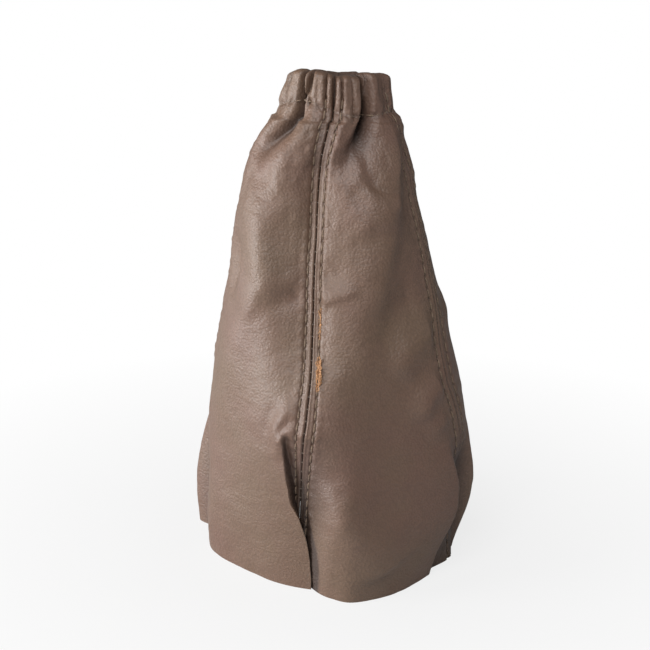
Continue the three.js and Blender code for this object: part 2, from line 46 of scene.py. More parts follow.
# the body's form, finer than the part's: millimetres and degrees
# a level is 0 at the floor, 1 at the hem's stitching, 2 at the rim; azimuth 0 is the front, 90 the right
body = {
    "height": 220.0,
    "hemDepth": 17.0,
    "wall": 1.2,
    "profile": [(0, 51), (0.158, 56), (0.374, 52.5), (0.567, 48), (0.754, 42), (0.847, 38.3),
                (0.921, 33.9), (0.97, 29.4), (1.02, 25.8), (1.53, 23.1), (2, 21.8)],
    "squareness": [(0, 5), (0.2, 4.2), (0.39, 2.9), (0.64, 2.2), (2, 2)],
    "lean": [(0, 1.5), (0.2, 1), (0.39, 1), (0.567, 2.2), (0.76, 4.2), (0.92, 4.5), (1.02, 1.4),
             (1.1, 0.8), (2, 0.8)],
    "leanAzimuth": -32,
    "rimTilt": 2.6,
    "rimTiltAzimuth": 25,
    "rimLift": 1.6,
    "hemClear": 4,        # the hem stands free from this far above its stitching
    "rimEdge": 1,
    # how far the hem's stitching climbs, by azimuth
    "hemRise": [(-62, 3.6), (-32, 4.4), (0, 6), (12, 6.8), (20, 7.2), (35, 6.6), (47, 5.2), (58, 4),
                (75, 2.6), (90, 2.6), (105, 3.4), (122, 4), (180, 4.5), (240, 5.5), (298, 6.5)],
    # how the rim waves up and down, by azimuth
    "rimWave": [(-62, -0.6), (-32, -1.4), (-8, 0.2), (12, 0.9), (20, -0.2), (27, 0.6), (38, 0.6),
                (49, -0.1), (57, -0.9), (64, -0.8), (73, -0.3), (85, -0.7), (98, 1.4), (118, 1.2),
                (135, 1.6), (150, 0.6), (168, 1.4), (190, 0.8), (212, 1.2), (235, 0.4), (262, 0.8),
                (285, -0.6), (298, -0.6)],
    # how far the foot spreads, by azimuth
    "footSpread": [(-90, 0), (-70, 2), (-57, 2.6), (-44, 0.6), (-25, 2.4), (5, 2.4), (35, 1.4),
                   (46, 1.0), (57, 1.2), (66, 4.2), (78, 4.4), (93, 3), (105, 0), (114, -2.6),
                   (122, -4.2), (135, -4.2), (150, -3.4), (180, 0), (270, 0)],
    "spreadHeight": 48.0,
    "flatLimit": 0.15,        # cosine at which a flat side lets go
    # sides that lie flat: where each faces, how softly it turns into the rest, its distance from the axis
    "flats": [
        (21, 4.5, [(0, 43.5), (0.148, 49), (0.27, 54), (0.39, 62), (0.54, 80), (2, 80)]),
        (-32, 2, [(0, 58), (0.3, 58.5), (0.47, 62), (0.6, 80), (2, 80)]),
        (52, 3, [(0, 80), (0.42, 70), (0.52, 52), (0.6, 45.2), (0.68, 41), (0.76, 37.7), (0.82, 35.7),
                 (0.88, 34), (0.93, 33.2), (0.97, 38), (1.1, 80), (2, 80)]),
    ],
}
hemLine = body["height"] - body["hemDepth"]
panelNames = ["front", "right", "rear", "left"]
# each panel runs from the seam of the same number to the next
seamNames = ["front_left", "front_right", "rear_right", "rear_left"]

# azimuth of each seam by level
seamLines = [
    [(0, -44), (0.22, -46), (0.39, -44), (0.74, -45), (0.96, -41), (2, -37)],
    [(0, 35.1), (0.06, 36.4), (0.123, 37.6), (0.193, 39.2), (0.248, 41), (0.303, 42.9), (0.351, 44.3),
     (0.398, 45.8), (0.441, 46.4), (0.498, 47.2), (0.573, 47.1), (0.674, 48.4), (0.774, 50.2),
     (0.855, 51.5), (0.955, 53.6), (1.0, 54.6), (1.214, 55.2), (1.5, 56.5), (2, 57)],
    [(0, 138), (0.19, 132), (0.27, 127.5), (0.33, 124.5), (0.4, 121), (0.47, 117.6), (0.53, 118.6),
     (0.61, 121.5), (0.77, 126), (0.92, 127), (1.1, 129), (2, 128)],
    [(0, 227), (0.25, 224), (0.44, 226), (0.74, 223), (0.96, 229), (2, 234)],
]

# seams folded in at the foot: depth in, the strip beside the seam, the slope on either side
# and how far the shoulder leans over, all before and after the seam
strip = 5.2
tucks = [
    {"depth": [(0, 13), (0.148, 14), (0.3, 10), (0.47, 0), (2, 0)], "flat": strip, "flatAfter": strip,
     "before": 7, "after": 8, "reach": 5.5, "overBefore": 2, "overAfter": 2},
    {"depth": [(0, 6), (0.113, 6), (0.153, 6.4), (0.217, 6.8), (0.273, 6), (0.33, 3.8), (0.35, 2.6),
               (0.37, 1.2), (0.385, 0), (2, 0)],
     "flat": [(0, 4.2), (0.182, 4.2), (0.217, 4), (0.25, 4.4), (0.273, 5), (0.33, 7.4), (0.37, 8),
              (2, 8)],
     "flatAfter": [(0, 3), (0.15, 3.4), (0.22, 3), (0.28, 1.5), (2, 1.5)],
     "before": [(0, 3), (0.2, 3), (0.273, 2.3), (0.33, 1.6), (0.37, 1.4), (2, 1.4)],
     "after": [(0, 14), (0.14, 16), (0.2, 20), (0.26, 24), (2, 24)], "reach": 12,
     "overBefore": [(0, 27.8), (0.03, 27.8), (0.054, 26.8), (0.084, 25.7), (0.113, 23.4), (0.153, 17.7),
                    (0.182, 13.2), (0.217, 5.7), (0.25, 3.6), (0.273, 1.8), (0.33, 2.4), (0.37, 5),
                    (2, 7)],
     "overAfter": 0},
    {"depth": [(0, 3.5), (0.06, 7), (0.14, 12), (0.22, 11), (0.305, 3), (0.39, 0), (2, 0)],
     "flat": [(0, 15), (0.06, 14), (0.12, 11), (0.17, 8), (0.22, 6), (0.3, strip), (2, strip)],
     "flatAfter": strip, "before": [(0, 5), (0.12, 6), (0.25, 8), (2, 8)], "after": 6,
     "reach": 5, "overBefore": 3, "overAfter": 3},
    {"depth": [(0, 10), (0.148, 12), (0.27, 8), (0.44, 0), (2, 0)], "flat": strip, "flatAfter": strip,
     "before": 9, "after": 7, "reach": 6, "overBefore": 2, "overAfter": 2},
]

shoulder = {"crest": 0.95, "inner": 0.75, "fullDepth": 12}        # where a tuck's shoulder leans over most

gathers = {
    "depth": 4.8,
    "centre": 0.6,        # share of the depth that lies inside the body's line
    "arch": 0.62,         # lower is rounder
    "neckRadius": 25.4,
    "closing": 3,         # full depth is reached this far above the stitching
    "relax": 0.15,        # and this share is lost again up to the rim
    # azimuth, share of full depth, how far it runs below the stitching
    "valleys": [(-27, 0.9, 12), (-8, 0.5, 10), (18, 0.6, 10), (30, 0.6, 6), (39, 0.35, 4),
                (47.6, 0.7, 8), (55.5, 1.1, 12), (64.5, 0.6, 6), (76, 0.45, 5), (89, 1.1, 10),
                (118, 0.55, 8), (139, 0.9, 12), (151, 0.7, 8), (170, 1.1, 14), (183, 0.6, 6),
                (205, 1, 14), (219, 0.6, 6), (236, 0.8, 10), (252, 1, 14), (277, 1.1, 14),
                (299, 0.7, 8), (316, 0.8, 10)],
}

# pleats and ridges that run up the body, from low to high:
# (height, azimuth, how far it stands out, width on the left, width on the right)
pleats = [
    # left of the front
    [(183, 2, 0, 5, 6), (187.3, 2, -1.5, 4.5, 5.5), (191.3, 1, -3, 4, 5.5), (195.3, 4.5, -4.6, 3.6, 5.5),
     (199.2, 11.5, -5.8, 3.4, 5), (203.2, 15.5, -6, 2.6, 3.6), (206.5, 17.5, -5.4, 1.8, 2.2),
     (210.5, 18.2, -4.6, 1.2, 1.3), (213.5, 18.6, -4, 1, 1.1), (219, 19, -3.4, 0.9, 1.1)],
    [(208, 19.5, 0, 1.1, 1.2), (211.1, 22, -2.6, 1, 1.2), (213.5, 26, -3.2, 1, 1.4),
     (217, 29, -3.2, 1, 1.6), (221, 30, -2.6, 1, 1.6)],
    [(180, -13, 0, 9, 7), (186, -13.5, 1.2, 9, 6), (190.3, -16, 2, 9, 6), (196.7, -11, 2.4, 8, 4.5),
     (202.2, -3, 2.2, 6, 3.4), (207, 0.5, 1.3, 5, 3), (211, 2, 0, 4, 3)],
    [(172, 25, 0, 10, 8), (183, 26, 2, 9, 7), (187.5, 26, 2.8, 8.5, 6.5), (192, 26.5, 3.2, 8, 6),
     (196, 30, 3.2, 7, 5.5), (200, 33, 2.8, 5.5, 4.5), (204, 34, 2, 4, 4), (207, 33, 1, 3, 3),
     (210, 32, 0, 3, 3)],
    [(112, -35, 0, 14, 14), (130, -35, -1, 14, 14), (185.3, -35, -1.5, 12, 12), (202.5, -35, -1, 10, 10),
     (212.1, -35, -1, 9, 9), (215.7, -35, -2.6, 14, 14), (220.2, -35, -3.2, 14, 14)],
    # the front seam, drawn in
    [(78, 46, 0, 16, 7), (96, 46.6, -2.6, 16, 7), (114, 47.2, -3.8, 15, 7), (134, 47.8, -3.2, 10, 6),
     (150, 48.6, -2.8, 7, 6), (162, 49, -4.4, 7.5, 5.5), (174, 50, -4.8, 7.5, 5.5),
     (186, 51.4, -4.2, 6.5, 5), (193, 53.3, -2.8, 4.5, 5), (200, 54.6, -2.4, 4, 4),
     (206, 55.4, -1.8, 2.4, 2.6), (210, 55.7, -1.8, 1.4, 1.6), (217, 57, -2, 1.2, 1.4),
     (221, 57, -2, 1.2, 1.4)],
    # the long bright ridge that winds down the front, and the hollows beside it
    [(60, -8, 0, 12, 14), (80, -7, 1.8, 12, 14), (98, -4, 2.8, 12, 13), (110, 0, 2.8, 12, 10),
     (120, 6, 2.6, 13, 7.5), (127.5, 11.5, 3, 13, 7), (134.5, 16.8, 3.4, 13, 6.5),
     (139, 20.3, 3.6, 13, 6), (143.3, 21.3, 3.7, 13, 6), (147.8, 19.6, 3.6, 12, 6),
     (155.7, 15.8, 3.2, 11, 6.5), (162, 14, 2.8, 10, 7), (168, 12, 2.2, 9, 8), (173.5, 8.8, 1.2, 9, 8),
     (180, 6, 0, 8, 8)],
    [(122, 33, 0, 8, 7), (135, 34, -1, 8, 7), (149.2, 33.5, -1.8, 9, 8), (161.4, 32.5, -1.6, 9, 8),
     (172, 31, 0, 9, 8)],
    [(126, -11, 0, 7, 7), (132, -11, -1.8, 7, 6), (140, -10.5, -3, 7, 6), (149, -11, -2.2, 7, 6),
     (157, -12, 0, 7, 7)],
    # right of the front seam
    [(181, 71, 0, 6, 5), (187, 74.5, -2.2, 6, 5), (191.3, 78, -3.8, 5.5, 4.2), (194.5, 81, -5, 4.6, 3.8),
     (198.2, 84.4, -6.4, 3.8, 3.4), (202.7, 88, -7.4, 2.8, 2.6), (207.6, 89.6, -7.4, 1.9, 2),
     (212, 90.8, -6.4, 1.6, 1.8), (219, 92, -5.4, 1.8, 2)],
    [(209.9, 91, 0, 0.9, 0.9), (213, 91.6, 3, 0.8, 0.8), (219.1, 92.4, 4.2, 0.9, 0.9)],
    [(170, 100, 0, 3, 5), (174.5, 95.6, -1.2, 3, 5), (178.9, 91.5, -2, 3, 6), (185.9, 89.2, -2.2, 2.8, 7),
     (193.3, 88, -2, 2.6, 7), (198, 88.5, -1.4, 2.4, 6), (203, 90, 0, 2.4, 4)],
    [(182, 61, 0, 4, 5), (193.8, 62, 1, 3.5, 4), (199.8, 64, 1, 3.5, 3.5), (205.1, 68, 0.8, 3, 3),
     (207.6, 70, 0, 3, 3)],
    [(160, 100, 0, 9, 7), (168, 100, 2, 11, 5.5), (171.5, 101.1, 3.4, 12, 5.5),
     (176.5, 103.3, 4.4, 12, 5.5), (184.4, 106.5, 5, 12, 5.5), (191.8, 110.7, 4.8, 11, 6),
     (199.7, 114.7, 3.8, 9, 5.5), (205, 118, 2, 7, 5), (209, 119, 0, 5, 5)],
    [(95, 72, 0, 12, 9), (110, 76, 1, 14, 8), (123, 80, 1.8, 15, 8), (135, 84, 2.6, 15, 8),
     (143, 87.5, 3.2, 15, 7), (151, 91, 3.6, 15, 7), (158.7, 95.4, 3.6, 14, 7), (166, 100, 2.4, 13, 7),
     (173, 102, 0, 12, 8)],
    [(172, 146, 0, 12, 12), (184, 146, 1.4, 11, 12), (193, 147, 2.4, 10, 12), (201, 147, 2.2, 8, 10),
     (209, 147, 0, 6, 8)],
    [(52, 142, 0, 20, 20), (70, 142, 1.4, 20, 20), (85, 142, 2.2, 20, 20), (100, 142, 2, 18, 20),
     (125, 142, 0.6, 16, 18), (138, 142, 0, 14, 16)],
    [(66, 112, 0, 12, 12), (100, 118, 1, 12, 12), (130, 122, 1.4, 12, 12), (150.2, 122, 0.8, 10, 10),
     (166.2, 122, 0, 10, 10)],
    # rear and left
    [(171.8, 158, 0, 5, 5), (189.5, 165, -2.4, 4, 4.5), (200.2, 169, -4, 3, 3.4),
     (208.2, 170, -3.6, 2.2, 2.2), (218.4, 170, -2, 1.8, 1.8)],
    [(176.7, 215, 0, 5, 5), (192.2, 209, -2.2, 4.5, 4), (201.8, 205.5, -3.8, 3.4, 3),
     (208.6, 205, -3.4, 2, 2), (218.5, 205, -2, 1.8, 1.8)],
    [(181.5, 243, 0, 5, 5), (195, 249, -2.4, 4, 4.5), (203.6, 252, -3.8, 3, 3.2),
     (209.4, 252, -3.4, 2, 2), (218.5, 252, -2, 1.8, 1.8)],
    [(175, 287, 0, 5, 5), (191, 281, -2.6, 4.5, 4), (203, 278, -4.2, 3, 3), (209.8, 277, -3.8, 2.2, 2.2),
     (218.6, 277, -2, 1.8, 1.8)],
    [(166.4, 186, 0, 8, 8), (187.5, 188, 2.4, 7, 7), (200.5, 190, 1.6, 5, 5), (208.4, 191, 0, 4, 4)],
    [(161.2, 265, 0, 8, 8), (186.2, 264, 2.4, 8, 7), (200.6, 264, 1.6, 5, 5), (209.6, 264, 0, 4, 4)],
    [(60, 170, 0, 16, 16), (105, 176, -2.6, 15, 12), (140, 184, -2, 12, 10), (166.4, 190, 0, 10, 10)],
    [(70, 205, 0, 12, 12), (110, 203, 2.2, 12, 9), (150.2, 208, 1.8, 11, 8), (177.8, 212, 0, 9, 9)],
    [(70, 262, 0, 14, 14), (112, 266, -2.8, 14, 11), (150.2, 272, -2, 12, 10), (174.9, 276, 0, 10, 10)],
    [(80, 292, 0, 10, 12), (120, 290, 2.2, 10, 12), (159, 296, 1.6, 10, 9), (182.1, 300, 0, 9, 9)],
]

# folds that run across a panel: panel, width to the left and right of the path, height,
# share of the path that each end fades over, and the path as (mm across from the panel's middle, mm up)
folds = [
    ("left", (15, 15), 10, (0, 0.75), [(29, -6), (29, 40), (27, 95)]),
    ("front", (3.2, 3), 1.8, (0.25, 0.3),
     [(34.4, 93), (31.6, 86), (29.4, 82), (28.2, 79), (28.6, 75.5), (30, 70), (32, 62)]),
    ("front", (1.8, 1.5), 1.2, (0.1, 0.4),
     [(31.4, 72), (31.8, 75.8), (33.2, 78), (35, 79), (37.4, 78.4), (38.8, 77.4)]),
    ("front", (1.6, 1.6), -0.3, (0.3, 0.3), [(33.6, 87), (32.5, 82.5), (31.2, 79.3), (31, 76)]),
    ("front", (4, 4), -0.9, (0.35, 0.35), [(28, 90), (25, 84), (24, 78), (24.6, 73)]),
    ("front", (5, 4), 1.2, (0.4, 0.3), [(13, 134), (20, 137), (29, 143)]),
    ("front", (5, 4), -1.0, (0.4, 0.3), [(17, 128), (24, 131), (31, 135)]),
    ("right", (5, 2), 1.4, (0.15, 0.5), [(-32, 131), (-25, 133.5), (-17, 135.5), (-9, 139)]),
    ("right", (5, 5), -0.8, (0.2, 0.5), [(-30, 142), (-22, 144), (-14, 149)]),
    ("right", (5, 11), 2.4, (0.1, 0.4),
     [(10.9, 176.5), (9.6, 171.5), (4.2, 167.6), (-4.7, 165.1), (-12.9, 161.6), (-18.9, 156.7)]),
    ("right", (8, 9), 2.8, (0.3, 0.2), [(7, 97), (11, 103), (17, 109), (24, 113), (34, 115)]),
    ("right", (10, 8), -2.2, (0.4, 0.2), [(-7, 107), (-2, 114), (5, 121), (13, 127), (26, 131)]),
    ("right", (6, 5), 2.8, (0.3, 0.2), [(18, 76), (21, 84), (25, 89), (31, 92), (36, 93)]),
    ("right", (5, 4), 1.3, (0.4, 0.3), [(20, 69), (26, 74), (35, 79)]),
    ("right", (11, 8), 3.4, (0.3, 0.1),
     [(-31, 60), (-27, 53), (-22, 41.5), (-15, 31), (-9, 22.5), (-3, 10)]),
    ("rear", (5, 5), 1.6, (0.4, 0.4), [(-30, 112), (-16, 122), (-2, 126)]),
    ("rear", (6, 4), 1.6, (0.4, 0.4), [(8, 84), (20, 92), (34, 94)]),
    ("left", (5, 5), 1.6, (0.4, 0.4), [(-32, 118), (-18, 126), (-4, 126)]),
    ("left", (6, 5), 1.6, (0.4, 0.4), [(-26, 66), (-12, 76), (4, 78)]),
]

seamFinish = {
    "gap": 0.05,           # half the gap between two panels
    "openSeam": 1,         # the seam that is pulled open along its middle
    "pulledOpen": 0.04,
    "openFrom": (88, 104),
    "openTo": (132, 152),
    "rollRadius": 0.6,     # edges rolled under
    "rollDepth": 0.8,
    "beadHeight": 0.38,    # the rolled edge stands up beside the gap
    "beadMiddle": 0.95,
    "beadWidth": 0.6,
    "weltHeight": 0.2,     # the seam allowance shows as a raised strip
    "weltRise": (0.1, 1.2),
    "weltFall": (-1.3, 0.6),
    "rowLeft": 3.4,        # topstitching to the left of a seam
    "rowRight": 4.1,       # and to its right
    "pitch": 5.1,
    "pucker": 0.85,        # how far a row pulls the leather in
    "puckerWidth": 0.7,
    "betweenHoles": 0.3,   # share of the pull between two needle holes
    "puff": 0.4,
    "puffMiddle": 1.9,
    "puffWidth": 1.4,
    "puffTop": 1.1,
}
hemFinish = {
    "turnHeight": 2.2,
    "turnSteps": 8,
    "flapRadius": 14.5,
    "flapWave": 0.2,       # share of the gathers that the flap inside follows
    "flapLevel": 2,
    "flapEnd": 200.0,
    "flapSteps": 10,
    "stitchPitch": 4.6,
    "pinch": 1.2,
    "pinchWidth": 1.2,
    "betweenHoles": 0.65,
}
# soft unevenness of the leather: (cells round, cells up, height)
uneven = {"seed": 11, "layers": [(22, 16, 0.30), (46, 34, 0.20), (100, 76, 0.10)], "neckExtra": 1.0,
          "neckFrom": (140, 190)}


def along(points, level):        # smooth curve through (level, value) points
    if not isinstance(points, list):
        return np.full(np.shape(level), float(points))
    x, y = np.array(points, float).T
    slope = np.empty_like(y)
    slope[1:-1] = (y[2:] - y[:-2]) / (x[2:] - x[:-2])
    slope[0] = (y[1] - y[0]) / (x[1] - x[0])
    slope[-1] = (y[-1] - y[-2]) / (x[-1] - x[-2])
    at = np.clip(level, x[0], x[-1])
    i = np.clip(np.searchsorted(x, at, side="right") - 1, 0, len(x) - 2)
    step = x[i + 1] - x[i]
    t = (at - x[i]) / step
    rise = y[i + 1] - y[i]
    m0, m1 = slope[i] * step, slope[i + 1] * step
    return y[i] + t * m0 + t ** 2 * (3 * rise - 2 * m0 - m1) + t ** 3 * (m0 + m1 - 2 * rise)


def aroundBody(points, azimuth):        # the same for a curve through (azimuth, value) points
    start = points[0][0]
    return along(points, (azimuth - start) % 360 + start)


def ease(start, end, x):
    t = np.clip((x - start) / (end - start), 0, 1)
    return t * t * (3 - 2 * t)


def stitchLine(azimuth):        # height of the hem's stitching
    return hemLine + aroundBody(body["hemRise"], azimuth)


def levelOf(z):
    return np.where(z <= hemLine, z / hemLine, 1 + (z - hemLine) / body["hemDepth"])


def panelWidth(z):
    return math.pi / 2 * along(body["profile"], levelOf(z))


def seamAzimuth(index, z):
    return along(seamLines[index % 4], levelOf(z)) + 360 * (index // 4)


def gatherOffset(azimuth, z):        # arches between the valleys
    valleys = np.array(gathers["valleys"])
    start = valleys[0, 0]
    a = (azimuth - start) % 360 + start
    i = np.clip(np.searchsorted(valleys[:, 0], a, side="right") - 1, 0, len(valleys) - 1)
    j = (i + 1) % len(valleys)
    span = (valleys[j, 0] - valleys[i, 0]) % 360
    t = (a - valleys[i, 0]) / span
    arch = np.clip(1 - (2 * t - 1) ** 2, 0, 1) ** gathers["arch"]
    deep = np.minimum(np.radians(span) * gathers["neckRadius"] / 2, gathers["depth"])
    deep = deep * (valleys[i, 1] * (1 - t) + valleys[j, 1] * t)
    reach = valleys[i, 2] * (1 - t) + valleys[j, 2] * t
    line = stitchLine(azimuth)
    fade = ease(line - reach, line + gathers["closing"], z)
    fade = fade * (1 - gathers["relax"] * ease(line + body["hemClear"], body["height"], z))
    return deep * (arch - gathers["centre"]) * fade


def pleatOffset(azimuth, radius, z):
    total = np.zeros(np.shape(radius))
    for rows in pleats:
        height, middle, lift, left, right = np.array(rows, float).T
        away = (azimuth - along([(h, m) for h, m in zip(height, middle)], z) + 180) % 360 - 180
        width = np.where(away < 0, np.interp(z, height, left), np.interp(z, height, right))
        out = along([(h, v) for h, v in zip(height, lift)], z) * (z > height[0])
        total += out * np.exp(-(np.radians(away) * radius / width) ** 2)
    return total


def foldLift(fold, across, z):
    _, (wideLeft, wideRight), depth, (fadeStart, fadeEnd), path = fold
    path = np.array(path, float)
    lengths = np.linalg.norm(np.diff(path, axis=0), axis=1)
    nearest = np.full(np.shape(across), 1e9)
    lift = np.zeros(np.shape(across))
    run = 0.0
    for start, end, length in zip(path[:-1], path[1:], lengths):
        dx, dz = (end - start) / length
        t = np.clip((across - start[0]) * dx + (z - start[1]) * dz, 0, length)
        offX, offZ = across - start[0] - dx * t, z - start[1] - dz * t
        distance = np.hypot(offX, offZ)
        width = np.where(dx * offZ - dz * offX > 0, wideLeft, wideRight)
        share = (run + t) / lengths.sum()
        fade = ease(0, max(fadeStart, 1e-3), share) * ease(0, max(fadeEnd, 1e-3), 1 - share)
        value = depth * np.exp(-(distance / width) ** 2) * fade
        lift = np.where(distance < nearest, value, lift)
        nearest = np.minimum(nearest, distance)
        run += length
    return lift


def bodyRadius(share, azimuth, level):
    corner = np.radians(-45 + 90 * share)
    n = along(body["squareness"], level)
    rounding = (np.abs(np.sin(corner)) ** n + np.abs(np.cos(corner)) ** n) ** (1 / n)
    radius = along(body["profile"], level) / rounding
    for facing, blend, distance in body["flats"]:
        turned = np.maximum(np.cos(np.radians(azimuth - facing)), body["flatLimit"])
        flat = along(distance, level) / turned
        radius = -blend * np.logaddexp(-radius / blend, -flat / blend)
    spread = 1 - ease(0, body["spreadHeight"], level * hemLine)
    return radius + aroundBody(body["footSpread"], azimuth) * spread


def tuckOffset(tuck, distance, level, isBefore):
    depth = np.maximum(along(tuck["depth"], level), 0)
    flat = along(tuck["flat" if isBefore else "flatAfter"], level)
    slope = along(tuck["before" if isBefore else "after"], level)
    inward = depth * (1 - ease(flat, flat + slope, distance))
    over = along(tuck["overBefore"], level) if isBefore else -along(tuck["overAfter"], level)
    past = distance - flat - shoulder["crest"] * slope
    wide = np.where(past > 0, tuck["reach"], shoulder["inner"] * slope)
    return inward, over * np.minimum(depth / shoulder["fullDepth"], 1) * np.exp(-(past / wide) ** 2)


def unevenTables():
    random = np.random.default_rng(uneven["seed"])
    return [random.uniform(-1, 1, (cellsUp + 2, cellsRound)) for cellsRound, cellsUp, _ in uneven["layers"]]


unevenTable = unevenTables()


def unevenOffset(azimuth, z):
    total = np.zeros(np.shape(azimuth))
    for table, (cellsRound, cellsUp, height) in zip(unevenTable, uneven["layers"]):
        x = (azimuth % 360) / 360 * cellsRound
        y = np.clip(z / body["height"], 0, 1) * cellsUp
        column, row = np.floor(x).astype(int), np.floor(y).astype(int)
        fx, fy = x - column, y - row
        fx, fy = fx * fx * (3 - 2 * fx), fy * fy * (3 - 2 * fy)
        left, right = column % cellsRound, (column + 1) % cellsRound
        low = table[row, left] * (1 - fx) + table[row, right] * fx
        high = table[row + 1, left] * (1 - fx) + table[row + 1, right] * fx
        total += height * (low * (1 - fy) + high * fy)
    return total * (1 + uneven["neckExtra"] * ease(*uneven["neckFrom"], z))


def seamRelief(distance, z, row, phase):        # rolled edge, raised allowance, puckers of one row
    finish = seamFinish
    roll = np.clip(1 - distance / finish["rollRadius"], 0, 1)
    relief = -finish["rollDepth"] * (1 - np.sqrt(1 - roll ** 2))
    relief += finish["beadHeight"] * np.exp(-((distance - finish["beadMiddle"]) / finish["beadWidth"]) ** 2)
    fallFrom, fallTo = finish["weltFall"]
    welt = ease(*finish["weltRise"], distance) * (1 - ease(row + fallFrom, row + fallTo, distance))
    relief += finish["weltHeight"] * welt
    hole = 0.5 + 0.5 * np.cos(2 * math.pi * phase)
    pull = finish["betweenHoles"] + (1 - finish["betweenHoles"]) * hole
    pucker = finish["pucker"] * np.exp(-((distance - row) / finish["puckerWidth"]) ** 2) * pull
    puff = np.exp(-((distance - row - finish["puffMiddle"]) / finish["puffWidth"]) ** 2)
    return relief - pucker + finish["puff"] * puff * (finish["puffTop"] - hole)


def place(azimuth, radius, z, off=None):
    angle = np.radians(azimuth)
    lean = math.radians(body["leanAzimuth"])
    if off is None:
        off = along(body["lean"], levelOf(z))
    tilt = body["rimTilt"] * np.cos(angle - math.radians(body["rimTiltAzimuth"]))
    tilt = tilt * ease(hemLine - body["hemDepth"], body["height"], z)
    wave = body["rimLift"] + aroundBody(body["rimWave"], azimuth)
    tilt = tilt + wave * ease(hemLine + body["hemClear"], body["height"] - body["rimEdge"], z)
    x = np.sin(angle) * radius + math.sin(lean) * off
    y = -np.cos(angle) * radius - math.cos(lean) * off
    return np.stack([x, y, z + tilt], -1)


rowPhases = {}        # (seam, side): stitches counted from the floor, by height
hemPhase = []         # azimuths along the hem's stitching, and its stitches counted by them


def surfaceAt(panel, share, z, relief=True):
    level = levelOf(z)
    width = panelWidth(z)
    azimuth = seamAzimuth(panel, z) * (1 - share) + seamAzimuth(panel + 1, z) * share
    inLeft, overLeft = tuckOffset(tucks[panel], share * width, level, False)
    inRight, overRight = tuckOffset(tucks[(panel + 1) % 4], (1 - share) * width, level, True)
    radius = bodyRadius(share, azimuth, level) - inLeft - inRight + gatherOffset(azimuth, z)
    radius += pleatOffset(azimuth, radius, z) + unevenOffset(azimuth, z)
    for fold in folds:
        if fold[0] == panelNames[panel]:
            radius += foldLift(fold, (share - 0.5) * width, z)
    pinch = hemFinish["pinch"] * np.exp(-((z - stitchLine(azimuth)) / hemFinish["pinchWidth"]) ** 2)
    if relief and rowPhases:
        radius += seamRelief(share * width, z, seamFinish["rowRight"], phaseAt(panel, "right", z))
        nextPhase = phaseAt((panel + 1) % 4, "left", z)
        radius += seamRelief((1 - share) * width, z, seamFinish["rowLeft"], nextPhase)
        holes = np.cos(2 * math.pi * np.interp(azimuth, *hemPhase))
        pinch = pinch * (hemFinish["betweenHoles"] + (1 - hemFinish["betweenHoles"]) * holes)
    return azimuth + np.degrees((overLeft + overRight) / radius), radius - pinch


def surface(panel, share, z, relief=True):
    azimuth, radius = surfaceAt(panel, share, z, relief)
    return place(azimuth, radius, z)


def outward(panel, share, z):
    step = 1.0
    side = step / panelWidth(z)
    across = surface(panel, share + side, z, False) - surface(panel, share - side, z, False)
    up = surface(panel, share, z + step, False) - surface(panel, share, z - step, False)
    normal = np.cross(across, up)
    return normal / np.linalg.norm(normal, axis=-1, keepdims=True)


def phaseAt(seam, side, z):
    heights, counts = rowPhases[(seam, side)]
    return np.interp(z, heights, counts)


def rowShare(seam, side, z):        # the panel that a row of stitching lies on, and where across it
    if side == "right":
        return seam, seamFinish["rowRight"] / panelWidth(z)
    return (seam + 3) % 4, 1 - seamFinish["rowLeft"] / panelWidth(z)


def runAlong(points):
    return np.concatenate([[0], np.cumsum(np.linalg.norm(np.diff(points, axis=0), axis=1))])


rowSteps = 420        # points along each row of topstitching
rowTop = body["height"] - 4


def countStitches():
    heights = np.linspace(0, rowTop, rowSteps)
    phases = {}
    for seam in range(4):
        for side in ("left", "right"):
            panel, share = rowShare(seam, side, heights)
            run = runAlong(surface(panel, share, heights, False))
            phases[(seam, side)] = (heights, run / seamFinish["pitch"])
    return phases


hemSteps = 160        # points across each panel along the hem's stitching


# the hem's stitching all round: panel, share across it, height, azimuth and place of each point
def hemPath():
    shares = np.linspace(0, 1, hemSteps, endpoint=False)
    parts = []
    for panel in range(4):
        z = np.full(hemSteps, hemLine)
        for _ in range(3):
            azimuth = surfaceAt(panel, shares, z, False)[0]
            z = stitchLine(azimuth)
        parts.append((np.full(hemSteps, panel), shares, z, azimuth, surface(panel, shares, z, False)))
    return [np.concatenate(part) for part in zip(*parts)]


def countHemStitches():
    azimuths, points = hemPath()[3:]
    run = runAlong(points)
    return [azimuths, run / run[-1] * round(run[-1] / hemFinish["stitchPitch"])]


rowPhases = countStitches()
hemPhase = countHemStitches()

# the whole model is centred on its footprint: the elastic, a plain ring, shows where its axis went
elasticLow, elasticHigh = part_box("neck_elastic")
neckLean = float(along(body["lean"], 2.0))
axisShift = (elasticLow + elasticHigh) / 2 / mm
axisShift = np.array([axisShift.x - math.sin(math.radians(body["leanAzimuth"])) * neckLean,
                      axisShift.y + math.cos(math.radians(body["leanAzimuth"])) * neckLean, 0.0])


def inFrame(points):
    return (points + axisShift) * mm


def selectOnly(thing):
    bpy.ops.object.select_all(action="DESELECT")
    thing.select_set(True)
    bpy.context.view_layer.objects.active = thing


